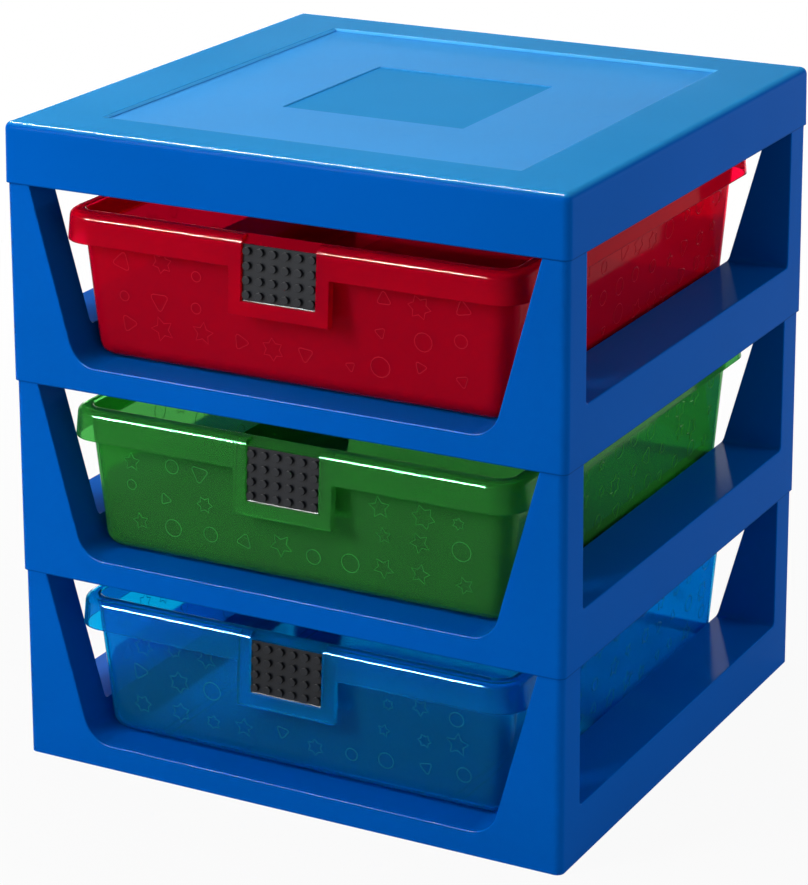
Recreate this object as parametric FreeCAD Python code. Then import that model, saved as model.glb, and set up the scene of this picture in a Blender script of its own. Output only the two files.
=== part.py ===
import FreeCAD, Part
import math
import os

from FreeCAD import Vector

# Children's drawer unit: three stacked storeys, a flat cover and a drawer in each storey.
# Millimetres. X runs along the front, Y from front to back, Z up. The origin is on the floor
# under the middle of the rack.

# Rack
rack_width = 346.0
rack_depth = 331.0
storey_height = 115.2
cover_height = 34.4
frame_wall = 2.6
storey_draft = 1.1
cover_draft = 0.7
corner_radius = 4.4
edge_round = 0.8

# Open bay of a storey, and its side windows
floor_height = 14.6
post_top_width = 14.9
post_depth = 24.0
bay_lean_degrees = 15.0
bay_corner_radius = 17.0
ledge_height = 32.0
window_corner_radius = 3.0

# Pegs on the post tops, which plug into the skirt above
peg_height = 8.0
peg_inset = 1.5
peg_clearance = 0.3

# Ribs under the floors and under the cover
rib_thickness = 1.8
rib_depth = 7.0
rib_count = 3

# Recess and plaque on the cover
recess_side_margin = 44.5
recess_end_margin = 34.5
recess_depth = 2.2
recess_corner_radius = 1.0
plaque_size = 114.0
plaque_depth = 0.8

# Drawer tub, with low runners under its floor
drawer_wall = 2.0
drawer_floor_clearance = 0.3
runner_height = 1.0
runner_width = 6.0
runner_inset = 25.0
bottom_corner_gap = 7.5
bottom_corner_clearance = 0.3
upright_corner_extra = 2.5
tub_lean_degrees = 3.6
end_draft = 5.8

# Drawer rim, whose lip leans outwards as it goes down
rim_front_setback = 3.9
rim_back_setback = 3.0
rim_top_gap = 13.2
rim_height = 17.5
rim_side_overhang = 6.1
rim_front_overhang = 7.1
rim_back_overhang = 7.8
rim_corner_radius = 18.0
rim_edge_radius = 4.5
lip_lean_degrees = 4.2
lip_thickness = 2.0
lip_edge_round = 0.6

# Handle panel and its studded grip plate
stud_pitch = 8.0
stud_columns = 6
stud_rows = 4
stud_diameter = 4.7
stud_height = 1.9
stud_edge_round = 0.3
grip_side_margin = 3.1
grip_end_margin = 3.7
grip_thickness = 1.2
grip_clearance = 0.15
grip_top_drop = 4.0
panel_side_border = 8.0
panel_bottom_border = 8.1
panel_back_wall = 1.5
facet_land = 1.0

# Cuts run past the faces they open by this much; points nearer than touch count as one
overrun = 5.0
touch = 0.001

quarter_turn = 90.0
storeys = ("lower", "middle", "upper")

# Places worked out from the sizes above
half_width = rack_width / 2
half_depth = rack_depth / 2
bay_lean = math.radians(bay_lean_degrees)
bay_top_half = half_width - storey_draft - post_top_width
bay_floor_half = bay_top_half - (storey_height - floor_height) * math.tan(bay_lean)
bay_flat_half = bay_floor_half - bay_corner_radius * math.tan((math.pi / 2 - bay_lean) / 2)
window_half = half_depth - post_depth

rim_top = storey_height - rim_top_gap
rim_bottom = rim_top - rim_height
rim_front = -half_depth + rim_front_setback
rim_back = half_depth - rim_back_setback
lip_lean = math.radians(lip_lean_degrees)
lip_draft = rim_height * math.tan(lip_lean)

# The round lower corner of the tub keeps its clearance from the round corner of the bay
tub_lift = drawer_floor_clearance + runner_height
tub_bottom = floor_height + tub_lift
tub_bottom_radius = bay_corner_radius - bottom_corner_gap
corner_reach = bottom_corner_gap - bottom_corner_clearance
corner_shift = math.sqrt(corner_reach ** 2 - (bottom_corner_gap - tub_lift) ** 2)
tub_lean = math.radians(tub_lean_degrees)
tub_flat_half = bay_flat_half + corner_shift
tub_bottom_half = tub_flat_half + tub_bottom_radius * math.tan((math.pi / 2 - tub_lean) / 2)
tub_top_half = tub_bottom_half + (rim_top - tub_bottom) * math.tan(tub_lean)
rim_half = tub_top_half + rim_side_overhang + lip_draft
tub_corner_radius = tub_bottom_radius + upright_corner_extra
tub_top_front = rim_front + lip_draft + rim_front_overhang
tub_top_back = rim_back - lip_draft - rim_back_overhang
tub_low = (tub_bottom_half, tub_top_front + end_draft, tub_top_back - end_draft, tub_bottom)
tub_high = (tub_top_half, tub_top_front, tub_top_back, rim_top)

# The handle is laid out upright, heights from the lower edge of the rim, and leans with the lip
grip_half = (stud_columns - 1) * stud_pitch / 2 + grip_side_margin
grip_length = (stud_rows - 1) * stud_pitch + 2 * grip_end_margin
grip_top = rim_height - grip_top_drop
grip_bottom = grip_top - grip_length
pocket_depth = stud_height + grip_thickness
pocket_top = grip_top + grip_clearance
pocket_bottom = grip_bottom - grip_clearance
panel_half = grip_half + grip_clearance + panel_side_border
panel_bottom = pocket_bottom - panel_bottom_border
panel_depth = pocket_depth + panel_back_wall
facet_back = tub_top_front + drawer_wall - facet_land


def box(x0, x1, y0, y1, z0, z1):
    """A block between two corners."""
    return Part.makeBox(x1 - x0, y1 - y0, z1 - z0, Vector(x0, y0, z0))


def drafted_block(low, high):
    """A block whose section changes evenly from low to high.

    Each section is (half width, front, back, height).
    """
    low_half, low_front, low_back, low_z = low
    high_half, high_front, high_back, high_z = high
    block = Part.makeWedge(-low_half, low_z, -low_back, -high_back, -high_half,
                           low_half, high_z, -low_front, -high_front, high_half)
    block.rotate(Vector(0, 0, 0), Vector(1, 0, 0), quarter_turn)
    return block


def section_at(low, high, z):
    """The section of a drafted block at height z, also past its ends."""
    share = (z - low[3]) / (high[3] - low[3])
    return tuple(a + (b - a) * share for a, b in zip(low, high))


def inset(section, distance):
    """The same section drawn in on its four sides."""
    half, front, back, z = section
    return (half - distance, front + distance, back - distance, z)


def upright_edges(solid):
    """The edges that climb from the foot of a block to its top."""
    height = solid.BoundBox.ZLength
    return [e for e in solid.Edges if e.BoundBox.ZLength > height - touch]


def level_edges(solid, z):
    """The edges that lie at height z."""
    return [e for e in solid.Edges
            if abs(e.BoundBox.ZMin - z) < touch and abs(e.BoundBox.ZMax - z) < touch]


def rounded_block(low, high, radius):
    """A drafted block with its upright corners rounded."""
    block = drafted_block(low, high)
    return block.makeFillet(radius, upright_edges(block))


def broken_edges(solid, skin, cutter):
    """The edges of solid where cutter breaks through skin."""
    found = []
    for edge in solid.Edges:
        middle = edge.valueAt((edge.FirstParameter + edge.LastParameter) / 2)
        point = Part.Vertex(middle)
        on_skin = skin.Shells[0].distToShape(point)[0] < touch
        on_cutter = cutter.Shells[0].distToShape(point)[0] < touch
        if on_skin and on_cutter:
            found.append(edge)
    return found


def u_opening(half_flat, bottom, radius, lean, grow, top):
    """Face of an opening with a flat bottom, round lower corners and leaning sides.

    It stands in the XZ plane. grow widens it all round, about the same corner centres.
    """
    reach = radius + grow
    centre_z = bottom + radius

    def corner(side, angle):
        return Vector(side * (half_flat + reach * math.cos(angle)), 0, centre_z - reach * math.sin(angle))

    def upper_end(side):
        start = corner(side, lean)
        return Vector(start.x + side * (top - start.z) * math.tan(lean), 0, top)

    middle_angle = (math.pi / 2 + lean) / 2
    right = [corner(1, a) for a in (math.pi / 2, middle_angle, lean)]
    left = [corner(-1, a) for a in (lean, middle_angle, math.pi / 2)]
    edges = [
        Part.LineSegment(left[2], right[0]).toShape(),
        Part.Arc(*right).toShape(),
        Part.LineSegment(right[2], upper_end(1)).toShape(),
        Part.LineSegment(upper_end(1), upper_end(-1)).toShape(),
        Part.LineSegment(upper_end(-1), left[0]).toShape(),
        Part.Arc(*left).toShape(),
    ]
    return Part.Face(Part.Wire(edges))


def bay(grow):
    """The space of one bay, open at the front, back and top."""
    face = u_opening(bay_flat_half, floor_height, bay_corner_radius, bay_lean, grow,
                     storey_height + overrun)
    length = rack_depth + 2 * overrun
    face.translate(Vector(0, -length / 2, 0))
    return face.extrude(Vector(0, length, 0))


def windows(grow):
    """The space of both side windows of one storey, right through the rack."""
    face = u_opening(window_half - window_corner_radius, ledge_height, window_corner_radius, 0, grow,
                     storey_height + overrun)
    length = rack_width + 2 * overrun
    face.rotate(Vector(0, 0, 0), Vector(0, 0, 1), quarter_turn)
    face.translate(Vector(-length / 2, 0, 0))
    return face.extrude(Vector(length, 0, 0))


def row(count, step):
    """Evenly spaced places on both sides of zero."""
    return [(i - (count - 1) / 2) * step for i in range(count)]


def rib_grid(half_x, half_y, top):
    """Crossed ribs that hang from a plate, as a list of blocks."""
    ribs = []
    low = top - rib_depth
    high = top + frame_wall / 2
    for x in row(rib_count, 2 * half_x / rib_count):
        ribs.append(box(x - rib_thickness / 2, x + rib_thickness / 2, -half_y, half_y, low, high))
    for y in row(rib_count, 2 * half_y / rib_count):
        ribs.append(box(-half_x, half_x, y - rib_thickness / 2, y + rib_thickness / 2, low, high))
    return ribs


def post_pegs(shrink):
    """The four pegs on the post tops, drawn in by shrink, as a list of blocks."""
    inner_x = bay_top_half + peg_inset + shrink
    outer_x = half_width - frame_wall - peg_clearance - shrink
    inner_y = window_half + peg_inset + shrink
    outer_y = half_depth - frame_wall - peg_clearance - shrink
    foot = storey_height - frame_wall - shrink
    top = storey_height + peg_height - shrink
    pegs = []
    for side in (-1, 1):
        for end in (-1, 1):
            xs = sorted((side * inner_x, side * outer_x))
            ys = sorted((end * inner_y, end * outer_y))
            peg = box(*xs, *ys, foot, top)
            pegs.append(peg.makeFillet(corner_radius - shrink, upright_edges(peg)))
    return pegs


def make_storey():
    """One storey: a floor with ledges, four hollow posts and a skirt, moulded in one."""
    foot = (half_width, -half_depth, half_depth, 0)
    top = inset((half_width, -half_depth, half_depth, storey_height), storey_draft)
    skin = rounded_block(foot, top, corner_radius)
    body = skin.cut([bay(0), windows(0)])
    openings = broken_edges(body, skin, bay(0))
    openings += broken_edges(body, skin, windows(0))
    body = body.makeFillet(edge_round, openings)

    hollow_foot = inset(section_at(foot, top, -overrun), frame_wall)
    hollow_top = inset(section_at(foot, top, storey_height - frame_wall), frame_wall)
    hollow = rounded_block(hollow_foot, hollow_top, corner_radius)
    hollow = hollow.cut([bay(frame_wall), windows(frame_wall)])
    body = body.cut(hollow)

    ribs = rib_grid(bay_flat_half, half_depth - frame_wall / 2, floor_height - frame_wall)
    body = body.fuse(ribs + post_pegs(0))
    return body.cut(post_pegs(frame_wall)).removeSplitter()


def make_cover():
    """The flat top with its skirt, recess and plaque."""
    foot = (half_width, -half_depth, half_depth, 0)
    top = inset((half_width, -half_depth, half_depth, cover_height), cover_draft)
    skin = drafted_block(foot, top)
    skin = skin.makeFillet(corner_radius, upright_edges(skin) + level_edges(skin, cover_height))

    def sunk(half_x, half_y, floor, grow, radius):
        section = (half_x + grow, -half_y - grow, half_y + grow, floor - grow)
        return rounded_block(section, section[:3] + (cover_height + overrun,), radius)

    recess_floor = cover_height - recess_depth
    plaque_floor = recess_floor - plaque_depth

    def recess(grow):
        return sunk(half_width - recess_side_margin, half_depth - recess_end_margin,
                    recess_floor, grow, recess_corner_radius)

    def plaque(grow):
        return sunk(plaque_size / 2, plaque_size / 2, plaque_floor, grow, recess_corner_radius)

    body = skin.cut(recess(0))
    body = body.makeFillet(edge_round, broken_edges(body, skin, recess(0)))
    body = body.cut(plaque(0))

    hollow_foot = inset(section_at(foot, top, -overrun), frame_wall)
    hollow_top = inset(section_at(foot, top, cover_height - frame_wall), frame_wall)
    hollow = rounded_block(hollow_foot, hollow_top, corner_radius)
    hollow = hollow.cut([recess(frame_wall), plaque(frame_wall)])
    body = body.cut(hollow)

    ribs = rib_grid(half_width - recess_side_margin, half_depth - recess_end_margin,
                    plaque_floor - frame_wall)
    return body.fuse(ribs).removeSplitter()


def yz_prism(points, half_x):
    """A prism with a YZ outline, as long as 2 * half_x along X."""
    outline = [Vector(-half_x, y, z) for y, z in points]
    face = Part.Face(Part.makePolygon(outline + outline[:1]))
    return face.extrude(Vector(2 * half_x, 0, 0))


def leaning(depth, height):
    """Place, as (y, z), of a point behind the handle's face and up from the rim's lower edge."""
    y = rim_front + height * math.sin(lip_lean) + depth * math.cos(lip_lean)
    z = rim_bottom + height * math.cos(lip_lean) - depth * math.sin(lip_lean)
    return (y, z)


def under_facet(y):
    """Place, as (y, z), one lip's thickness under the facet that slopes up from the pocket."""
    start_y, start_z = leaning(stud_height, pocket_top)
    slope = (rim_top - start_z) / (facet_back - start_y)
    return (y, start_z + slope * (y - start_y) - lip_thickness)


def make_handle(rim_skin):
    """The panel that hangs from the rim, with a web under the facet."""
    web_back = tub_top_front + drawer_wall / 2
    web_front = leaning(panel_depth, pocket_top)[0]
    outline = [
        leaning(0, panel_bottom),
        leaning(panel_depth, panel_bottom),
        under_facet(web_front),
        under_facet(web_back),
        (web_back, rim_top),
        leaning(0, rim_height / math.cos(lip_lean)),
    ]
    whole = yz_prism(outline, panel_half)
    bounds = whole.BoundBox
    above = box(-panel_half, panel_half, bounds.YMin, bounds.YMax, rim_bottom, bounds.ZMax)
    hanging = whole.cut(above)
    face_back = leaning(0, 0)[0]
    front_edges = [e for e in hanging.Edges
                   if e.BoundBox.YMax < face_back + touch and e.BoundBox.ZMin < rim_bottom - touch]
    hanging = hanging.makeFillet(lip_edge_round, front_edges)
    return hanging.fuse(whole.common(rim_skin))


def grip_pocket():
    """The pocket for the grip plate, with the facet that opens it to the top of the rim."""
    front = leaning(-overrun, pocket_bottom)
    outline = [
        front,
        leaning(pocket_depth, pocket_bottom),
        leaning(pocket_depth, pocket_top),
        leaning(stud_height, pocket_top),
        (facet_back, rim_top),
        (facet_back, rim_top + overrun),
        (front[0], rim_top + overrun),
    ]
    return yz_prism(outline, grip_half + grip_clearance)


def runners():
    """Two low runners under the floor of the tub, as a list of blocks."""
    front = tub_low[1] + tub_bottom_radius
    back = tub_low[2] - tub_bottom_radius
    blocks = []
    for side in (-1, 1):
        x = side * (tub_flat_half - runner_inset)
        blocks.append(box(x - runner_width / 2, x + runner_width / 2, front, back,
                          tub_bottom - runner_height, tub_bottom + drawer_wall / 2))
    return blocks


def make_rim():
    """The turned-down rim with its handle, filled in over the tub."""
    low = (rim_half, rim_front, rim_back, rim_bottom)
    high = inset((rim_half, rim_front, rim_back, rim_top), lip_draft)
    skin = rounded_block(low, high, rim_corner_radius)
    skin = skin.makeFillet(rim_edge_radius, level_edges(skin, rim_top))
    rounded = skin.makeFillet(lip_edge_round, level_edges(skin, rim_bottom))

    hollow_top = rim_top - lip_thickness
    hollow_low = inset(section_at(low, high, rim_bottom - overrun), lip_thickness)
    hollow_high = inset(section_at(low, high, hollow_top), lip_thickness)
    hollow = rounded_block(hollow_low, hollow_high, rim_corner_radius - lip_thickness)
    hollow = hollow.makeFillet(rim_edge_radius - lip_thickness, level_edges(hollow, hollow_top))
    return rounded.cut(hollow).fuse(make_handle(skin)), skin


def make_drawer():
    """A tub with a turned-down rim and a handle panel."""
    rim, rim_skin = make_rim()
    tub = rounded_block(tub_low, tub_high, tub_corner_radius)
    tub = tub.makeFillet(tub_bottom_radius, level_edges(tub, tub_bottom))
    inside_floor = tub_bottom + drawer_wall
    inside_low = inset(section_at(tub_low, tub_high, inside_floor), drawer_wall)
    inside_high = inset(section_at(tub_low, tub_high, rim_top + overrun), drawer_wall)
    inside = rounded_block(inside_low, inside_high, tub_corner_radius - drawer_wall)
    inside = inside.makeFillet(tub_bottom_radius - drawer_wall, level_edges(inside, inside_floor))

    body = rim.fuse([tub] + runners()).cut(inside).removeSplitter()
    body = body.makeFillet(edge_round, broken_edges(body, rim_skin, inside))
    return body.cut(grip_pocket()).removeSplitter()


def make_grip():
    """The grip plate with its rows of round studs, leaning with the handle."""
    face = rim_front + stud_height
    middle = rim_bottom + (grip_top + grip_bottom) / 2
    plate = box(-grip_half, grip_half, face, face + grip_thickness,
                middle - grip_length / 2, middle + grip_length / 2)
    root = grip_thickness / 2
    stud = Part.makeCylinder(stud_diameter / 2, stud_height + root, Vector(0, face + root, 0),
                             Vector(0, -1, 0))
    stud = stud.makeFillet(stud_edge_round, [e for e in stud.Edges if e.BoundBox.YMax < face])
    studs = []
    for x in row(stud_columns, stud_pitch):
        for z in row(stud_rows, stud_pitch):
            studs.append(stud.translated(Vector(x, 0, middle + z)))
    grip = plate.fuse(studs).removeSplitter()
    grip.rotate(Vector(0, rim_front, rim_bottom), Vector(1, 0, 0), -lip_lean_degrees)
    return grip


def write(name, shape, lift):
    """Lift a piece to its storey and write it to its own file."""
    placed = shape.copy()
    placed.translate(Vector(0, 0, lift))
    solids = placed.Solids
    print("%-14s solids %d  volume %.0f mm3  valid %s"
          % (name, len(solids), placed.Volume, placed.isValid()))
    solids[0].exportStep("parts/%s.step" % name)


os.makedirs("parts", exist_ok=True)
storey = make_storey()
drawer = make_drawer()
grip = make_grip()
for level, name in enumerate(storeys):
    write(name + "_frame", storey, level * storey_height)
    write(name + "_drawer", drawer, level * storey_height)
    write(name + "_grip", grip, level * storey_height)
write("top_cover", make_cover(), len(storeys) * storey_height)
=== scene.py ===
# %% [markdown]
# # A drawer unit for a child's room
# Three moulded storeys and a cover stack into an open rack. Each storey carries one see-through drawer
# with a studded grip. The ten mouldings are already modelled as solids and packed, so this lesson is
# about looks: a camera where the photographer stood, plastics that answer light as plastics do, a fine
# relief on the drawers, and soft studio light on a white floor.

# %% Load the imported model
import math

import bmesh
import bpy
from mathutils import Matrix, Vector


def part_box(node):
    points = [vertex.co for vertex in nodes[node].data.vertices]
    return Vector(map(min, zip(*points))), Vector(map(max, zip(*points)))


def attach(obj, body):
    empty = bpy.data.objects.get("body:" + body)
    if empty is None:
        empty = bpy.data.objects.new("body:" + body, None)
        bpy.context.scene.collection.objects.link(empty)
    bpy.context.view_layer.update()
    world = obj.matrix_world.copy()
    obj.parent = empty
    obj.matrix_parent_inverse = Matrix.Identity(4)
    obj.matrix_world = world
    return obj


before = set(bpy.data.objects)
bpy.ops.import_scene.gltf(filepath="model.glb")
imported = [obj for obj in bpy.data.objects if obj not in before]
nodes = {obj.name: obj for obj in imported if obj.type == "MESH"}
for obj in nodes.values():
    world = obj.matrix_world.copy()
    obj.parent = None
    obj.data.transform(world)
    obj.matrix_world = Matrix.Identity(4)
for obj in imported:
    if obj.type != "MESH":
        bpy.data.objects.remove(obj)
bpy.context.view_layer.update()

# %% [markdown]
# ## What stands where
# The model's own boxes tell how tall the unit is and where each storey starts. Sizes that a box can't tell,
# such as how far a wall leans, are repeated below from the solids. All lengths are metres, because that is
# Blender's unit, and MM turns the maker's millimetres into them.

# %% Places read from the model
MM = 0.001
STOREYS = ("lower", "middle", "upper")
storey_base = {storey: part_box(f"{storey}_frame")[0].z for storey in STOREYS}
unit_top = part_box("top_cover")[1].z
unit_middle = Vector((0.0, 0.0, unit_top / 2))
print("storey bases", {storey: round(z, 4) for storey, z in storey_base.items()}, "top", round(unit_top, 4))

# %% [markdown]
# ## The camera
# A camera is a place, a direction and a lens. Blender's camera looks down its own -Z axis, so it is first
# tipped up by a quarter turn to look along +Y, and then pitched, turned and rolled. The lens is long and the
# camera stands well back, as for a catalogue picture: upright edges stay almost parallel.

# %% Make the camera
CAMERA_PLACE = Vector((0.8160, -1.5413, 0.7883))
CAMERA_TURN = math.radians(28.212)
CAMERA_PITCH = math.radians(-19.556)
CAMERA_ROLL = math.radians(-0.254)
CAMERA_LENS_MM = 127.29
CAMERA_SENSOR_MM = 36.0
QUARTER_TURN = math.radians(90)


def make_camera():
    """The portrait camera, standing right of the front and looking down on the cover."""
    camera_data = bpy.data.cameras.new("portrait_camera")
    camera_data.lens = CAMERA_LENS_MM
    camera_data.sensor_width = CAMERA_SENSOR_MM
    camera = bpy.data.objects.new("portrait_camera", camera_data)
    camera.matrix_world = (
        Matrix.Translation(CAMERA_PLACE)
        @ Matrix.Rotation(CAMERA_TURN, 4, "Z")
        @ Matrix.Rotation(QUARTER_TURN + CAMERA_PITCH, 4, "X")
        @ Matrix.Rotation(CAMERA_ROLL, 4, "Z")
    )
    bpy.context.scene.collection.objects.link(camera)
    bpy.context.scene.camera = camera
    return camera


camera = make_camera()
print(f"{camera.name} {(CAMERA_PLACE - unit_middle).length:.2f} m from the middle of the unit")

# %% [markdown]
# ## Helpers for node trees
# A material is a small network: coordinates feed textures, textures feed the shader. `wire` adds one node,
# sets or links its inputs and hands back an output, so that a network reads from top to bottom like a recipe.
# It serves Geometry Nodes just as well.

# %% Helpers for any node tree
def new_material(name):
    """A material, its node tree and its Principled shader."""
    material = bpy.data.materials.new(name)
    material.use_nodes = True
    tree = material.node_tree
    return material, tree, tree.nodes["Principled BSDF"]


def wire(tree, kind, inputs, output=0, **settings):
    """Adds a node, sets or links each input, and returns one of its outputs."""
    node = tree.nodes.new(kind)
    for name, value in settings.items():
        setattr(node, name, value)
    for key, value in inputs.items():
        if isinstance(value, bpy.types.NodeSocket):
            tree.links.new(value, node.inputs[key])
        else:
            node.inputs[key].default_value = value
    return node.outputs[output]


def axes_of(tree, vector):
    """The three parts of a vector, to be picked by the names X, Y and Z."""
    node = tree.nodes.new("ShaderNodeSeparateXYZ")
    tree.links.new(vector, node.inputs[0])
    return node.outputs


def maths(tree, operation, first, second=0.0):
    """One Math node on two numbers or sockets."""
    return wire(tree, "ShaderNodeMath", {0: first, 1: second}, operation=operation)


print("node helpers ready")

# %% [markdown]
# ## Helpers for patterns
# Textures read Object coordinates: every piece sits at the origin, so a millimetre of grain is a millimetre
# on the real moulding, and the grain rides with a drawer when it slides. Noise keeps close to one half, so
# its middle range is stretched before it steers a colour or a gloss.

# %% Helpers for patterns on a surface
SMOOTH_DETAIL = 1.0
PLAIN_DETAIL = 2.0
FINE_DETAIL = 3.0
NOISE_LOW = 0.3
NOISE_HIGH = 0.7


def noise(tree, place, size, detail=PLAIN_DETAIL):
    """A cloudy pattern whose blotches are about `size` metres across."""
    return wire(tree, "ShaderNodeTexNoise", {"Vector": place, "Scale": 1 / size, "Detail": detail})


def spread(tree, value, low, high, start=NOISE_LOW, stop=NOISE_HIGH):
    """Maps the range from start to stop onto low to high, without overshooting."""
    return wire(tree, "ShaderNodeMapRange", {
        "Value": value, "From Min": start, "From Max": stop, "To Min": low, "To Max": high,
    })


def bump(tree, height, depth, below=None):
    """A bump of `depth` metres, laid over an earlier one where there is one."""
    inputs = {"Height": height, "Distance": depth, "Strength": 1.0}
    if below is not None:
        inputs["Normal"] = below
    return wire(tree, "ShaderNodeBump", inputs)


def tinted_by(tree, colour, value):
    """The colour with its brightness multiplied by a pattern."""
    return wire(tree, "ShaderNodeHueSaturation", {"Color": colour, "Value": value})


print("pattern helpers ready")

# %% [markdown]
# ## Scuffs, and painted shade at the joints
# A rack that has stood in a room has rare hairline scuffs, and painted shade darkens each joint where one
# moulding stands on the next. Scuffs are noise squeezed along the height, of which only the peaks are kept. A
# joint lies at a known height, so the distance to that height is enough, and nothing has to be painted by
# hand.

# %% Scuffs and painted joint shade
SCUFF_SIZE = 9 * MM
SCUFF_STRETCH = (1.0, 1.0, 14.0)
SCUFF_PEAKS = (0.66, 0.74)
# Painted shade: the blue is darkened along each joint between two mouldings.
SEAM_HEIGHTS = [storey_base["middle"], storey_base["upper"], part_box("top_cover")[0].z]
SEAM_REACH = 0.8 * MM
SEAM_SHADE_LEVEL = 0.45


def scuffs(tree, place):
    """Rare hairlines, near 1 on a scuff and 0 elsewhere."""
    squeezed = wire(tree, "ShaderNodeMapping", {"Vector": place, "Scale": SCUFF_STRETCH})
    return spread(tree, noise(tree, squeezed, SCUFF_SIZE, FINE_DETAIL), 0.0, 1.0, *SCUFF_PEAKS)


def painted_seam_shade(tree, place):
    """Brightness 1, falling where two mouldings meet: painted shade along the joints."""
    axes = axes_of(tree, place)
    unshaded = 1.0
    for height in SEAM_HEIGHTS:
        away = maths(tree, "ABSOLUTE", maths(tree, "SUBTRACT", axes["Z"], height))
        joint_shade = spread(tree, away, SEAM_SHADE_LEVEL, 1.0, start=0.0, stop=SEAM_REACH)
        unshaded = maths(tree, "MULTIPLY", joint_shade, unshaded)
    return unshaded


print("painted joint shade at heights", [round(height, 4) for height in SEAM_HEIGHTS])

# %% [markdown]
# ## Blue moulded plastic
# The storeys and the cover are one glossy, through-coloured plastic. A flat blue would look like a stand-in,
# so the colour and the gloss drift a little where the melt flowed, and the skin has the faint waviness of a
# polished steel mould under a fine grain. The mirror strength is low, because a white studio, mirrored all
# over, would veil so deep a blue. The function hands on its parts, since the cover builds on this plastic.

# %% Blue plastic of the rack
RACK_BLUE = (0.000, 0.102, 0.490, 1.0)
RACK_IOR = 1.49
RACK_SHINE = 0.012
RACK_GLOSS = (0.10, 0.15)
SCUFF_DULLING = 0.06
FLOW_SIZE = 120 * MM
FLOW_DRIFT = (0.96, 1.04)
PEEL_SIZE = 16 * MM
PEEL_DEPTH = 0.006 * MM
GRAIN_SIZE = 0.7 * MM
GRAIN_DEPTH = 0.002 * MM


def rack_plastic(name):
    """Glossy blue plastic, with the parts that the cover's material goes on working with."""
    material, tree, shader = new_material(name)
    place = wire(tree, "ShaderNodeTexCoord", {}, "Object")
    flow = noise(tree, place, FLOW_SIZE)
    peel = noise(tree, place, PEEL_SIZE, SMOOTH_DETAIL)
    grain = noise(tree, place, GRAIN_SIZE)
    # The brightness is the melt's drift in tone times the painted shade at the joints.
    brightness = maths(tree, "MULTIPLY", spread(tree, flow, *FLOW_DRIFT), painted_seam_shade(tree, place))
    scuffed = maths(tree, "MULTIPLY", scuffs(tree, place), SCUFF_DULLING)
    gloss = maths(tree, "ADD", spread(tree, flow, *RACK_GLOSS), scuffed)
    skin = bump(tree, grain, GRAIN_DEPTH, below=bump(tree, peel, PEEL_DEPTH))
    tree.links.new(tinted_by(tree, RACK_BLUE, brightness), shader.inputs["Base Color"])
    tree.links.new(gloss, shader.inputs["Roughness"])
    tree.links.new(skin, shader.inputs["Normal"])
    shader.inputs["IOR"].default_value = RACK_IOR
    shader.inputs["Specular IOR Level"].default_value = RACK_SHINE
    return material, tree, shader, place, brightness, gloss, skin


blue_plastic = rack_plastic("blue_plastic")[0]
for storey in STOREYS:
    nodes[f"{storey}_frame"].data.materials[0] = blue_plastic
print("blue plastic on", len(STOREYS), "frames")

# %% [markdown]
# ## Where the cover's finishes lie
# The cover's mould was treated in three ways: a polished border, a sunk field with a fine spark-eroded
# texture, and a smoother square plaque, sunk once more, in its middle. The places of the three are known, so
# masks on Object coordinates pick the finish. That is simpler than splitting the mesh, and it cannot slip.

# %% Masks for the cover
FIELD_HALF = (128.5 * MM, 131.0 * MM)
FIELD_FLOOR = unit_top - 2.2 * MM
PLAQUE_HALF = (57.0 * MM, 57.0 * MM)
PLAQUE_FLOOR = FIELD_FLOOR - 0.8 * MM
FINISH_SLACK = 0.3 * MM
WALL_SLACK = 0.6 * MM


def inside(tree, axes, half, floor, ceiling):
    """1 on the cover within +-half of its middle and between two heights, 0 elsewhere."""
    mask = maths(tree, "LESS_THAN", axes["Z"], ceiling)
    mask = maths(tree, "MULTIPLY", mask, maths(tree, "GREATER_THAN", axes["Z"], floor))
    for axis, reach in zip("XY", half):
        distance = maths(tree, "ABSOLUTE", axes[axis])
        mask = maths(tree, "MULTIPLY", mask, maths(tree, "LESS_THAN", distance, reach))
    return mask


def step_wall(tree, axes, half, floor, ceiling):
    """1 on the low wall around a sunk part, 0 elsewhere; there the cover gets its painted highlight."""
    reach = [part + WALL_SLACK for part in half]
    return inside(tree, axes, reach, floor + FINISH_SLACK, ceiling - FINISH_SLACK)


def facing_up(tree):
    """1 on a level surface, falling to 0 on an upright one."""
    return axes_of(tree, wire(tree, "ShaderNodeTexCoord", {}, "Normal"))["Z"]


print(f"field floor at {FIELD_FLOOR:.4f} m, plaque floor at {PLAQUE_FLOOR:.4f} m")

# %% [markdown]
# ## The cover's plastic
# The cover is the rack's plastic, but the top is lit brighter than the upright sides, so level faces are
# given a paler blue, which is painted top light, and the rounded outer edge passes from one blue to the
# other. The field is paler still, painted top light with a painted sheen of its finish, and duller, with a
# spark texture in its bump. The low steps around the field and the plaque are palest of all: a painted
# highlight along their walls.

# %% Plastic of the cover
# The paler blues are painted light: top light on level faces, top light and sheen on the field, a highlight
# on the step walls.
PAINTED_TOP_LIGHT_BLUE = (0.018, 0.290, 0.680, 1.0)
FIELD_BLUE_PAINTED_LIGHT = (0.042, 0.325, 0.770, 1.0)
PAINTED_STEP_HIGHLIGHT_BLUE = (0.110, 0.540, 0.900, 1.0)
INNER_HALF = (140.0 * MM, 140.0 * MM)
EDGE_ROUND = 4.4 * MM
FACES_UP = (0.55, 0.95)
FIELD_DULLING = 0.26
SPARK_SIZE = 0.45 * MM
SPARK_DEPTH = 0.02 * MM


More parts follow.
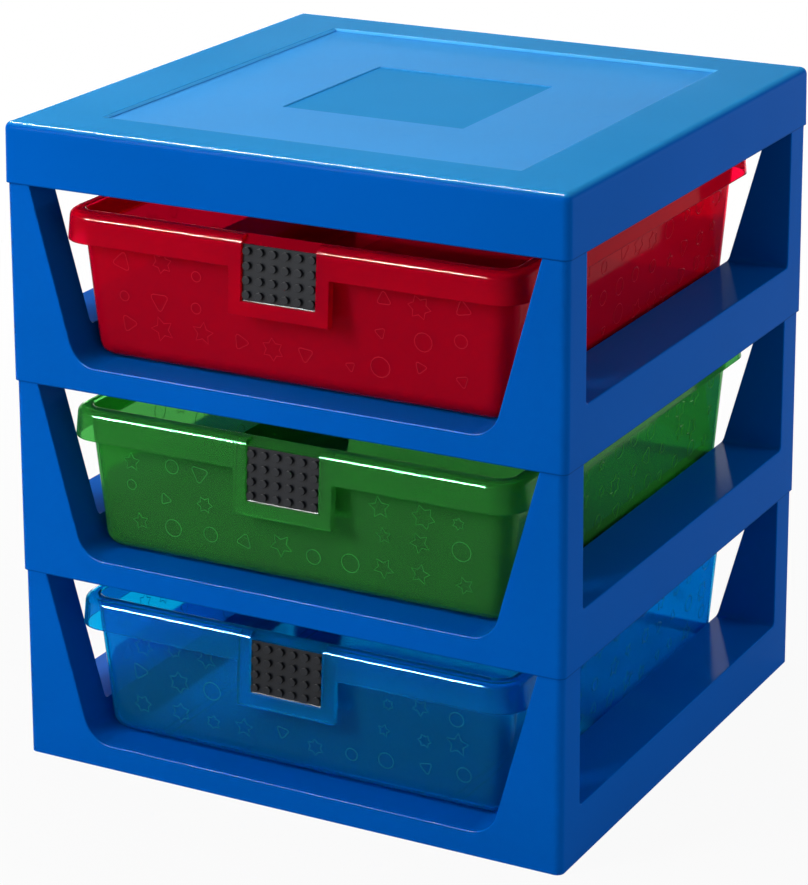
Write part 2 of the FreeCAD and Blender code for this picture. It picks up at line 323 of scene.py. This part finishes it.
def painted_top_light_share(tree, axes):
    """Where the painted top light goes: 1 on the top, steps included, falling to 0 over the rounded outer
    edge.
    """
    lowest = PLAQUE_FLOOR - FINISH_SLACK
    above = spread(tree, axes["Z"], 0.0, 1.0, start=unit_top - EDGE_ROUND, stop=lowest)
    inner = inside(tree, axes, INNER_HALF, lowest, unit_top + FINISH_SLACK)
    upward = maths(tree, "MAXIMUM", spread(tree, facing_up(tree), 0.0, 1.0, *FACES_UP), inner)
    return maths(tree, "MULTIPLY", above, upward)


def mixed(tree, share, first, second):
    """A colour between two colours."""
    return wire(tree, "ShaderNodeMixRGB", {"Fac": share, "Color1": first, "Color2": second})


def cover_plastic():
    """The rack's plastic with painted top light, a textured field, a smooth plaque and painted highlights on
    the steps.
    """
    material, tree, shader, place, brightness, gloss, skin = rack_plastic("blue_plastic_cover")
    axes = axes_of(tree, place)
    field = inside(tree, axes, FIELD_HALF, PLAQUE_FLOOR + FINISH_SLACK, FIELD_FLOOR + FINISH_SLACK)
    field_step = step_wall(tree, axes, FIELD_HALF, FIELD_FLOOR, unit_top)
    plaque_step = step_wall(tree, axes, PLAQUE_HALF, PLAQUE_FLOOR, FIELD_FLOOR)
    # Painted light in three layers: the paler top, the field's paler blue and the highlight on the step
    # walls; brightness carries the painted joint shade.
    colour = mixed(tree, painted_top_light_share(tree, axes), RACK_BLUE, PAINTED_TOP_LIGHT_BLUE)
    colour = mixed(tree, field, colour, FIELD_BLUE_PAINTED_LIGHT)
    colour = mixed(tree, maths(tree, "MAXIMUM", field_step, plaque_step), colour, PAINTED_STEP_HIGHLIGHT_BLUE)
    dull = maths(tree, "ADD", gloss, maths(tree, "MULTIPLY", field, FIELD_DULLING))
    spark = maths(tree, "MULTIPLY", noise(tree, place, SPARK_SIZE, FINE_DETAIL), field)
    tree.links.new(tinted_by(tree, colour, brightness), shader.inputs["Base Color"])
    tree.links.new(dull, shader.inputs["Roughness"])
    tree.links.new(bump(tree, spark, SPARK_DEPTH, below=skin), shader.inputs["Normal"])
    return material


nodes["top_cover"].data.materials[0] = cover_plastic()
print("cover finished: polished border, textured field, plaque")

# %% [markdown]
# ## Tinted see-through plastic
# The drawers are clear plastic with dye in it. One wall lets much of its own colour through, two walls one
# behind the other let through less, and that makes the fronts deep and the thin, back-lit places bright. A
# transmission shader does that by itself. The share that isn't clear is plain colour and stands for haze:
# the red drawer is the milkiest. A low index and a tinted sheen keep the white room from veiling the colour.

# %% Drawer plastics
DRAWER_TINTS = {
    "lower": (0.001, 0.430, 0.840, 1.0),
    "middle": (0.082, 0.460, 0.092, 1.0),
    "upper": (0.660, 0.001, 0.026, 1.0),
}
DRAWER_SHEENS = {
    "lower": (0.15, 0.55, 1.00, 1.0),
    "middle": (0.25, 1.00, 0.45, 1.0),
    "upper": (1.00, 0.60, 0.60, 1.0),
}
CLEAR_SHARES = {"lower": 0.89, "middle": 0.80, "upper": 0.62}
DRAWER_IORS = {"lower": 1.26, "middle": 1.24, "upper": 1.10}
HAZE_SIZE = 60 * MM
HAZE_DRIFT = (0.97, 1.03)
WALL_PEEL_DEPTH = 0.002 * MM
POLISH = 0.05
POLISH_DRIFT = 0.05


def drawer_plastic(name, storey, tint, clear, dullness=POLISH):
    """Dyed clear plastic: coloured transmission with some haze, and a gloss that drifts over the wall."""
    material, tree, shader = new_material(name)
    place = wire(tree, "ShaderNodeTexCoord", {}, "Object")
    haze = noise(tree, place, HAZE_SIZE)
    peel = noise(tree, place, PEEL_SIZE, SMOOTH_DETAIL)
    tree.links.new(tinted_by(tree, tint, spread(tree, haze, *HAZE_DRIFT)), shader.inputs["Base Color"])
    tree.links.new(spread(tree, haze, dullness, dullness + POLISH_DRIFT), shader.inputs["Roughness"])
    tree.links.new(bump(tree, peel, WALL_PEEL_DEPTH), shader.inputs["Normal"])
    shader.inputs["Transmission Weight"].default_value = clear
    shader.inputs["IOR"].default_value = DRAWER_IORS[storey]
    shader.inputs["Specular Tint"].default_value = DRAWER_SHEENS[storey]
    return material


for storey in STOREYS:
    plastic = drawer_plastic(f"{storey}_drawer_plastic", storey, DRAWER_TINTS[storey], CLEAR_SHARES[storey])
    nodes[f"{storey}_drawer"].data.materials[0] = plastic
print("drawers tinted:", ", ".join(STOREYS))

# %% [markdown]
# ## The grips
# The studded plates are a nearly black plastic, moulded with a fine grain so that a child's fingers hold.
# Their faces look grey only because they mirror the pale floor, and the sides of the studs stay black, so the
# colour is kept dark and the gloss does the rest. The studs are real geometry already: the material only
# needs the grain and an uneven polish.

# %% Grip plastic
GRIP_BLACK = (0.007, 0.0085, 0.012, 1.0)
GRIP_SHINE = 0.42
GRIP_SATIN = (0.28, 0.36)
GRIP_PATCH_SIZE = 14 * MM
GRIP_DRIFT = (0.85, 1.2)
GRIP_GRAIN_SIZE = 0.6 * MM
GRIP_GRAIN_DEPTH = 0.006 * MM


def grip_plastic():
    """Nearly black satin plastic with a fine moulded grain."""
    material, tree, shader = new_material("grip_plastic")
    place = wire(tree, "ShaderNodeTexCoord", {}, "Object")
    worn = noise(tree, place, GRIP_PATCH_SIZE)
    grain = noise(tree, place, GRIP_GRAIN_SIZE, FINE_DETAIL)
    tree.links.new(tinted_by(tree, GRIP_BLACK, spread(tree, worn, *GRIP_DRIFT)), shader.inputs["Base Color"])
    tree.links.new(spread(tree, worn, *GRIP_SATIN), shader.inputs["Roughness"])
    tree.links.new(bump(tree, grain, GRIP_GRAIN_DEPTH), shader.inputs["Normal"])
    shader.inputs["Specular IOR Level"].default_value = GRIP_SHINE
    return material


grip_material = grip_plastic()
for storey in STOREYS:
    nodes[f"{storey}_grip"].data.materials[0] = grip_material
print("grips finished:", len(STOREYS))

# %% [markdown]
# ## Relief on the drawer walls
# The drawer walls carry small raised outlines, scattered like confetti: rings, stars, triangles and
# blossoms. They could be modelled one by one, but something that repeats over a surface is a job for
# Geometry Nodes: one tree with named inputs serves every wall. These are the inputs, with the values that a
# wall starts from.

# %% The relief's inputs
RELIEF_INPUTS = {
    "Wall Width": 200 * MM,
    "Wall Height": 50 * MM,
    "Columns": 8,
    "Rows": 3,
    "Nudge": 3.0 * MM,
    "Motif Size": 7.5 * MM,
    "Line Width": 0.6 * MM,
    "Line Flatness": 0.5,
    "Clear Half Width": 0.0,
    "Clear Above": 0.0,
    "Lean": 0.0,
    "Turn": 0.0,
    "Distance": 100 * MM,
    "Height": 50 * MM,
    "Seed": 1,
}


def relief_sockets(tree):
    """Gives the tree its named inputs and its output, and returns the inputs."""
    for name, value in RELIEF_INPUTS.items():
        kind = "NodeSocketInt" if isinstance(value, int) else "NodeSocketFloat"
        tree.interface.new_socket(name, in_out="INPUT", socket_type=kind).default_value = value
    tree.interface.new_socket("Material", in_out="INPUT", socket_type="NodeSocketMaterial")
    tree.interface.new_socket("Geometry", in_out="OUTPUT", socket_type="NodeSocketGeometry")
    return tree.nodes.new("NodeGroupInput").outputs


print("relief inputs:", ", ".join(RELIEF_INPUTS))

# %% [markdown]
# ## Points on a wall
# A grid of points covers one wall, and a random nudge breaks its rows, so that the pattern looks scattered
# but never bunches up, as points thrown quite at random would. Points behind the handle are dropped. Every
# random number comes from the Seed input, so each run gives the same wall.

# %% Scatter points on a wall
def random_value(tree, low, high, seed, kind="FLOAT"):
    """A random number, whole number or vector for each point."""
    node = tree.nodes.new("FunctionNodeRandomValue")
    node.data_type = kind
    live = [socket for socket in node.inputs if socket.enabled]
    for socket, value in zip(live, (low, high)):
        if isinstance(value, bpy.types.NodeSocket):
            tree.links.new(value, socket)
        else:
            socket.default_value = value
    tree.links.new(seed, node.inputs["Seed"])
    return next(socket for socket in node.outputs if socket.enabled)


def in_plane(tree, length, sign):
    """A vector in the wall's plane with both parts `sign` times a length."""
    part = maths(tree, "MULTIPLY", length, sign)
    return wire(tree, "ShaderNodeCombineXYZ", {"X": part, "Y": part})


def wall_points(tree, given):
    """A nudged grid of points on a flat wall, without those behind the handle."""
    grid = wire(tree, "GeometryNodeMeshGrid", {
        "Size X": given["Wall Width"], "Size Y": given["Wall Height"],
        "Vertices X": given["Columns"], "Vertices Y": given["Rows"],
    })
    least = in_plane(tree, given["Nudge"], -1.0)
    most = in_plane(tree, given["Nudge"], 1.0)
    nudge = random_value(tree, least, most, given["Seed"], "FLOAT_VECTOR")
    nudged = wire(tree, "GeometryNodeSetPosition", {"Geometry": grid, "Offset": nudge})
    axes = axes_of(tree, wire(tree, "GeometryNodeInputPosition", {}))
    across = maths(tree, "LESS_THAN", maths(tree, "ABSOLUTE", axes["X"]), given["Clear Half Width"])
    above = maths(tree, "GREATER_THAN", axes["Y"], given["Clear Above"])
    behind = maths(tree, "MULTIPLY", across, above)
    return wire(tree, "GeometryNodeDeleteGeometry", {"Geometry": nudged, "Selection": behind}, domain="POINT")


print("points:", RELIEF_INPUTS["Rows"], "rows on each wall")

# %% [markdown]
# ## Four outlines
# Each motif is a closed curve, because a curve can be given a line of any width later. Blender has circles
# and stars ready-made: a circle of three points is a triangle, which gets rounded corners, and a star with
# six shallow points is a blossom.

# %% Draw the outlines
RING_SHARE = 0.8
RING_POINTS = 14
STAR_POINTS = 5
STAR_WAIST = 0.5
BLOSSOM_POINTS = 6
BLOSSOM_WAIST = 0.62
TRIANGLE_POINTS = 3
CORNER_SHARE = 0.2
CORNER_POINTS = 2


def star_outline(tree, size, points, waist):
    """A star as large as `size`, drawn in to `waist` of it between its points."""
    inner = maths(tree, "MULTIPLY", size, waist)
    return wire(tree, "GeometryNodeCurveStar", {
        "Points": points, "Inner Radius": inner, "Outer Radius": size,
    })


def motif_outlines(tree, given):
    """Ring, star, triangle and blossom, as closed curves of one size, kept apart as instances."""
    size = given["Motif Size"]
    ring = wire(tree, "GeometryNodeCurvePrimitiveCircle", {
        "Resolution": RING_POINTS, "Radius": maths(tree, "MULTIPLY", size, RING_SHARE),
    })
    star = star_outline(tree, size, STAR_POINTS, STAR_WAIST)
    blossom = star_outline(tree, size, BLOSSOM_POINTS, BLOSSOM_WAIST)
    triangle = wire(tree, "GeometryNodeCurvePrimitiveCircle", {"Resolution": TRIANGLE_POINTS, "Radius": size})
    rounded = wire(tree, "GeometryNodeFilletCurve", {
        "Curve": triangle, "Radius": maths(tree, "MULTIPLY", size, CORNER_SHARE), "Count": CORNER_POINTS,
    }, mode="POLY")
    apart = tree.nodes.new("GeometryNodeGeometryToInstance")
    for curve in (blossom, rounded, star, ring):
        tree.links.new(curve, apart.inputs[0])
    return apart.outputs[0]


print("outlines: ring, star, triangle, blossom")

# %% [markdown]
# ## From outlines to raised lines
# Each point gets one of the four outlines, turned and scaled at random. A thin tube along the outline,
# pressed flat, becomes a raised line, and then the flat pattern is stood up, leaned with the wall and turned
# to its side of the drawer.

# %% Place the outlines and raise them
LAST_MOTIF = 3
MOTIF_SCALES = (0.45, 1.0)
PICK_SEED = 1.0
TURN_SEED = 2.0
SCALE_SEED = 3.0
LINE_POINTS = 4
HALF = 0.5


def scattered(tree, given, points, outlines):
    """One outline on each point, turned and scaled at random."""
    seed = given["Seed"]
    pick = random_value(tree, 0, LAST_MOTIF, maths(tree, "ADD", seed, PICK_SEED), "INT")
    turn = random_value(tree, 0.0, math.tau, maths(tree, "ADD", seed, TURN_SEED))
    scale = random_value(tree, *MOTIF_SCALES, maths(tree, "ADD", seed, SCALE_SEED))
    instances = wire(tree, "GeometryNodeInstanceOnPoints", {
        "Points": points, "Instance": outlines, "Pick Instance": True, "Instance Index": pick,
        "Rotation": wire(tree, "ShaderNodeCombineXYZ", {"Z": turn}), "Scale": scale,
    })
    return wire(tree, "GeometryNodeRealizeInstances", {"Geometry": instances})


def raised_lines(tree, given, curves):
    """A thin tube along each outline, pressed flat so that it stands a little proud of the wall."""
    profile = wire(tree, "GeometryNodeCurvePrimitiveCircle", {
        "Resolution": LINE_POINTS, "Radius": maths(tree, "MULTIPLY", given["Line Width"], HALF),
    })
    tubes = wire(tree, "GeometryNodeCurveToMesh", {"Curve": curves, "Profile Curve": profile})
    flat = wire(tree, "ShaderNodeCombineXYZ", {"X": 1.0, "Y": 1.0, "Z": given["Line Flatness"]})
    return wire(tree, "GeometryNodeTransform", {"Geometry": tubes, "Scale": flat})


def onto_wall(tree, given, lines):
    """Stands the flat pattern up, leans it with the wall, and turns it to its side of the drawer."""
    tip = wire(tree, "ShaderNodeCombineXYZ", {"X": maths(tree, "ADD", given["Lean"], QUARTER_TURN)})
    out = wire(tree, "ShaderNodeCombineXYZ", {
        "Y": maths(tree, "MULTIPLY", given["Distance"], -1.0), "Z": given["Height"],
    })
    stood = wire(tree, "GeometryNodeTransform", {"Geometry": lines, "Rotation": tip, "Translation": out})
    turn = wire(tree, "ShaderNodeCombineXYZ", {"Z": given["Turn"]})
    return wire(tree, "GeometryNodeTransform", {"Geometry": stood, "Rotation": turn})


print("lines of", LINE_POINTS, "sides on each outline")

# %% [markdown]
# ## The whole tree
# The steps are strung together in their order. The tree ends in Realize Instances and Set Material: an
# exported model keeps no instances, only plain mesh with a material of its own.

# %% Put the relief tree together
def relief_tree():
    """Points on a wall, outline curves on the points, thin lines along the curves."""
    tree = bpy.data.node_groups.new("wall_relief", "GeometryNodeTree")
    given = relief_sockets(tree)
    placed = scattered(tree, given, wall_points(tree, given), motif_outlines(tree, given))
    on_wall = onto_wall(tree, given, raised_lines(tree, given, placed))
    plain_mesh = wire(tree, "GeometryNodeRealizeInstances", {"Geometry": on_wall})
    coloured = wire(tree, "GeometryNodeSetMaterial", {"Geometry": plain_mesh, "Material": given["Material"]})
    tree.links.new(coloured, tree.nodes.new("NodeGroupOutput").inputs[0])
    return tree


wall_relief = relief_tree()
print("relief tree with", len(wall_relief.nodes), "nodes")

# %% [markdown]
# ## Where the relief goes
# Each drawer has four leaning walls. The front and back lean a little more than the sides, and the front
# keeps a clear place around the handle. The rows stay above the tub's round lower corner, where a flat
# pattern would leave the wall. A modifier's input is set by the identifier that stands behind its name.

# %% Relief of one wall
HANDLE_CLEAR = 40 * MM
HANDLE_CLEAR_ABOVE = -7 * MM
END_WALL = dict(width=206 * MM, columns=10, lean=math.radians(3.85), foot=147.5 * MM, clear=0.0)
SIDE_WALL = dict(width=244 * MM, columns=12, lean=math.radians(3.60), foot=129.6 * MM, clear=0.0)
WALLS = {
    "front": dict(END_WALL, turn=0, clear=HANDLE_CLEAR),
    "right": dict(SIDE_WALL, turn=1),
    "back": dict(END_WALL, turn=2),
    "left": dict(SIDE_WALL, turn=3),
}
TUB_BOTTOM = 15.9 * MM
RELIEF_MIDDLE = 56 * MM
RELIEF_HEIGHT = 37 * MM
LINE_PROUD = 0.1 * MM


def set_input(modifier, name, value):
    """Sets a modifier's input by its identifier."""
    sockets = modifier.node_group.interface.items_tree
    modifier[next(s.identifier for s in sockets if s.name == name and s.in_out == "INPUT")] = value


def wall_mesh(wall, base, seed, material):
    """The relief of one wall as a plain mesh."""
    carrier = bpy.data.objects.new("relief_carrier", bpy.data.meshes.new("relief_carrier"))
    bpy.context.scene.collection.objects.link(carrier)
    modifier = carrier.modifiers.new("wall_relief", "NODES")
    modifier.node_group = wall_relief
    distance = wall["foot"] + (RELIEF_MIDDLE - TUB_BOTTOM) * math.tan(wall["lean"]) + LINE_PROUD
    inputs = {
        "Wall Width": wall["width"], "Wall Height": RELIEF_HEIGHT, "Columns": wall["columns"],
        "Clear Half Width": wall["clear"], "Clear Above": HANDLE_CLEAR_ABOVE, "Lean": wall["lean"],
        "Turn": wall["turn"] * QUARTER_TURN, "Distance": distance, "Height": base + RELIEF_MIDDLE,
        "Seed": seed, "Material": material,
    }
    for name, value in inputs.items():
        set_input(modifier, name, value)
    evaluated = carrier.evaluated_get(bpy.context.evaluated_depsgraph_get())
    mesh = bpy.data.meshes.new_from_object(evaluated)
    bpy.data.objects.remove(carrier)
    return mesh


print("walls of a drawer:", ", ".join(WALLS))

# %% [markdown]
# ## One relief for each drawer
# The four walls of a drawer are joined into one mesh that slides with it. On the real drawer the lines are
# the same plastic, but catch the light, so their plastic is the drawer's in a tint that stands out a little,
# with more haze and less polish.

# %% Decorate the drawers
FIRST_SEED = 7
DRAWER_SEED_STEP = 100
WALL_SEED_STEP = 10
RELIEF_TINTS = {
    "lower": (0.020, 0.320, 0.600, 1.0),
    "middle": (0.110, 0.495, 0.150, 1.0),
    "upper": (0.560, 0.022, 0.045, 1.0),
}
RELIEF_CLEAR = {"lower": 0.6, "middle": 0.6, "upper": 0.3}
RELIEF_DULLNESS = 0.2


def drawer_relief(storey, seed, material):
    """All four walls' relief of one drawer, as one piece."""
    joined = bmesh.new()
    for number, wall in enumerate(WALLS.values()):
        mesh = wall_mesh(wall, storey_base[storey], seed + WALL_SEED_STEP * number, material)
        joined.from_mesh(mesh)
        bpy.data.meshes.remove(mesh)
    mesh = bpy.data.meshes.new(f"{storey}_drawer_relief")
    joined.to_mesh(mesh)
    joined.free()
    mesh.materials.append(material)
    piece = bpy.data.objects.new(f"{storey}_drawer_relief", mesh)
    bpy.context.scene.collection.objects.link(piece)
    return piece


for number, storey in enumerate(STOREYS):
    material = drawer_plastic(f"{storey}_relief_plastic", storey, RELIEF_TINTS[storey],
                              RELIEF_CLEAR[storey], RELIEF_DULLNESS)
    relief = drawer_relief(storey, DRAWER_SEED_STEP * number + FIRST_SEED, material)
    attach(relief, f"{storey}_drawer")
    print(relief.name, len(relief.data.polygons), "faces")

# %% [markdown]
# ## Floor and background
# The unit stands on an endless white floor. To whatever looks at it directly or through a drawer, it is
# almost pure white light, with a little grey paper mixed in near the unit, because paper keeps the soft
# shadow. In mirror images the white comes in more slowly, further out. For all other light the floor is plain
# grey paper, so a clean white background doesn't flood the unit with light.

# %% Make the floor
FLOOR_RADIUS = 26.0
FLOOR_SIDES = 96
FLOOR_DROP = 0.2 * MM
FLOOR_PAPER = (0.42, 0.42, 0.42, 1.0)
FULL_WHITE = 1.0
SHADOW_REACH = 0.30
WHITE_REACH = 1.10
NEAR_GLOW = 0.94
MIRROR_REACH = 3.0
NEAR_MIRROR = 0.10


def floor_paint():
    """Grey paper that turns into plain white light for direct looks, and further out for mirror images."""
    material, tree, shader = new_material("white_floor")
    place = wire(tree, "ShaderNodeTexCoord", {}, "Object")
    away = wire(tree, "ShaderNodeVectorMath", {0: place}, "Value", operation="LENGTH")
    fade = spread(tree, away, NEAR_GLOW, FULL_WHITE, start=SHADOW_REACH, stop=WHITE_REACH)
    mirror_fade = spread(tree, away, NEAR_MIRROR, FULL_WHITE, start=SHADOW_REACH, stop=MIRROR_REACH)
    rays = tree.nodes.new("ShaderNodeLightPath").outputs
    direct = maths(tree, "MAXIMUM", rays["Is Camera Ray"], rays["Is Transmission Ray"])
    seen = maths(tree, "MULTIPLY", direct, fade)
    mirrored = maths(tree, "MULTIPLY", rays["Is Glossy Ray"], mirror_fade)
    white = maths(tree, "MAXIMUM", seen, mirrored)
    paper = wire(tree, "ShaderNodeBsdfDiffuse", {"Color": FLOOR_PAPER})
    glow = wire(tree, "ShaderNodeEmission", {"Strength": FULL_WHITE})
    lit = wire(tree, "ShaderNodeMixShader", {0: white, 1: paper, 2: glow})
    tree.links.new(lit, tree.nodes["Material Output"].inputs["Surface"])
    tree.nodes.remove(shader)
    return material


def make_floor():
    """One wide flat disc, a hair below the feet."""
    disc = bmesh.new()
    bmesh.ops.create_circle(disc, cap_ends=True, segments=FLOOR_SIDES, radius=FLOOR_RADIUS,
                            matrix=Matrix.Translation((0, 0, -FLOOR_DROP)))
    mesh = bpy.data.meshes.new("white_floor")
    disc.to_mesh(mesh)
    disc.free()
    mesh.materials.append(floor_paint())
    floor = bpy.data.objects.new("white_floor", mesh)
    bpy.context.scene.collection.objects.link(floor)
    return floor


make_floor()
print("floor radius", FLOOR_RADIUS, "m")

# %% [markdown]
# ## The room
# Plastic shows the room it stands in. A plain grey room gives an even base of light. Low down it is white,
# where a studio's backdrop would stand, so that whatever looks past the floor's end still sees white.

# %% Light the room
ROOM_WHITE = (1.0, 1.0, 1.0, 1.0)
ROOM_GREY = 0.22
BACKDROP_WHITE = 1.0
BACKDROP_TOP = math.sin(math.radians(6))
BACKDROP_FADE = math.sin(math.radians(10))


def light_room():
    """World light: white near the horizon, plain grey above."""
    world = bpy.data.worlds.new("grey_room")
    bpy.context.scene.world = world
    world.use_nodes = True
    tree = world.node_tree
    height = axes_of(tree, wire(tree, "ShaderNodeTexCoord", {}, "Generated"))["Z"]
    level = spread(tree, height, BACKDROP_WHITE, ROOM_GREY, start=BACKDROP_TOP, stop=BACKDROP_FADE)
    tree.links.new(level, tree.nodes["Background"].inputs["Strength"])
    tree.nodes["Background"].inputs["Color"].default_value = ROOM_WHITE


light_room()
print("grey room, white near the horizon")

# %% [markdown]
# ## Studio light
# Four soft boxes shape the unit: the strongest in front on the left, so that the front is brighter than the
# right side, one overhead, one on the right, and a low one behind that shines through the drawers. The right
# one stands a little behind and is hidden from reflections, so the left posts' inner faces stay dark and the
# right side isn't veiled. The white lines along rims and edges would need boxes far too strong for the rest,
# so two more lamps only gleam: no soft light, no bounces, and only on the pieces whose edges they draw.

# %% Light the unit
def collected(name, pieces):
    """A collection of pieces, for a lamp that lights only these."""
    collection = bpy.data.collections.new(name)
    for piece in pieces:
        collection.objects.link(nodes[piece])
    return collection


def soft_box(name, direction, distance, size, watts, mirrored=True, gleams_on=()):
    """An area lamp at a distance from the unit's middle, facing it; its first side stays level."""
    lamp = bpy.data.lights.new(name, "AREA")
    lamp.shape = "RECTANGLE"
    lamp.size, lamp.size_y = size
    lamp.energy = watts
    box = bpy.data.objects.new(name, lamp)
    towards = Vector(direction).normalized()
    facing = towards.to_track_quat("Z", "Y").to_matrix().to_4x4()
    box.matrix_world = Matrix.Translation(unit_middle + towards * distance) @ facing
    box.visible_camera = False
    box.visible_glossy = mirrored
    if gleams_on:
        box.visible_diffuse = False
        box.visible_transmission = False
        lamp.cycles.max_bounces = 0
        box.light_linking.receiver_collection = collected(name, gleams_on)
    bpy.context.scene.collection.objects.link(box)
    return box


OVERHEAD = (-0.44, 0.10, 0.89)
FRONT_EDGES = [f"{storey}_{piece}" for storey in STOREYS for piece in ("drawer", "frame")]
boxes = [
    soft_box("front_soft_box", direction=(-0.45, -0.76, 0.47), distance=1.7, size=(0.50, 0.70), watts=19.3),
    soft_box("overhead_soft_box", direction=OVERHEAD, distance=1.7, size=(0.90, 0.40), watts=11.0),
    soft_box("right_soft_box", direction=(0.90, 0.32, 0.28), distance=1.8, size=(0.90, 0.90), watts=9.0,
             mirrored=False),
    soft_box("back_soft_box", direction=(-0.30, 0.95, 0.08), distance=0.9, size=(1.30, 0.40), watts=5.0),
    soft_box("front_gleam", direction=(-0.44, -0.82, 0.35), distance=1.6, size=(0.60, 0.18), watts=420.0,
             gleams_on=FRONT_EDGES),
    soft_box("overhead_gleam", direction=OVERHEAD, distance=1.6, size=(0.36, 0.90), watts=430.0,
             gleams_on=["top_cover"]),
]
print("lamps:", ", ".join(box.name for box in boxes))

# %% [markdown]
# ## The view transform
# Colours are shown as they are written, so the view transform is the plain one.

# %% Finish
bpy.context.scene.view_settings.view_transform = "Standard"
